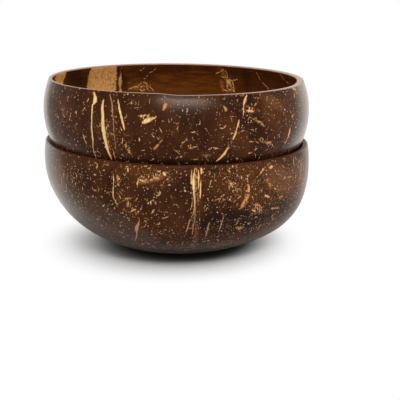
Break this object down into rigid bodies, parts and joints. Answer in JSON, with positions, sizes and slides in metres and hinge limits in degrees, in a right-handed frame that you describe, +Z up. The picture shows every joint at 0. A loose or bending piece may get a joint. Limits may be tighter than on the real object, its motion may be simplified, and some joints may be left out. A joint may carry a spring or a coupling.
{
  "type": "coconut shell bowl set",
  "caption": "Nested coconut shell bowls: polished dark half shells with a sanded flat base and a rounded lip, the lower one with the nut's eyes; the upper one lifts straight off.",
  "frame": {"origin": "centre of the lower bowl's sanded flat base, where the pair stands", "axes": "+Z up along the bowls' common axis, the way the upper bowl lifts off; -Y is the side seen in the picture"},
  "size_m": [0.14, 0.14, 0.0892],
  "materials": {
    "lower_shell": "polished coconut shell, satin gloss, pale fibre streaks and specks",
    "eye_filler": "matt filler of shell dust, sanded flush",
    "upper_shell": "polished coconut shell, satin gloss, pale fibre streaks and specks"
  },
  "bodies": {
    "lower": {"lower_bowl": "lower_shell", "eye_plug": "eye_filler"},
    "upper": {"upper_bowl": "upper_shell"}
  },
  "joints": [
    {"name": "upper_bowl_lift", "type": "slide", "parent": "lower", "child": "upper", "axis": [0, 0, 1], "range_m": [0, 0.06]}
  ]
}
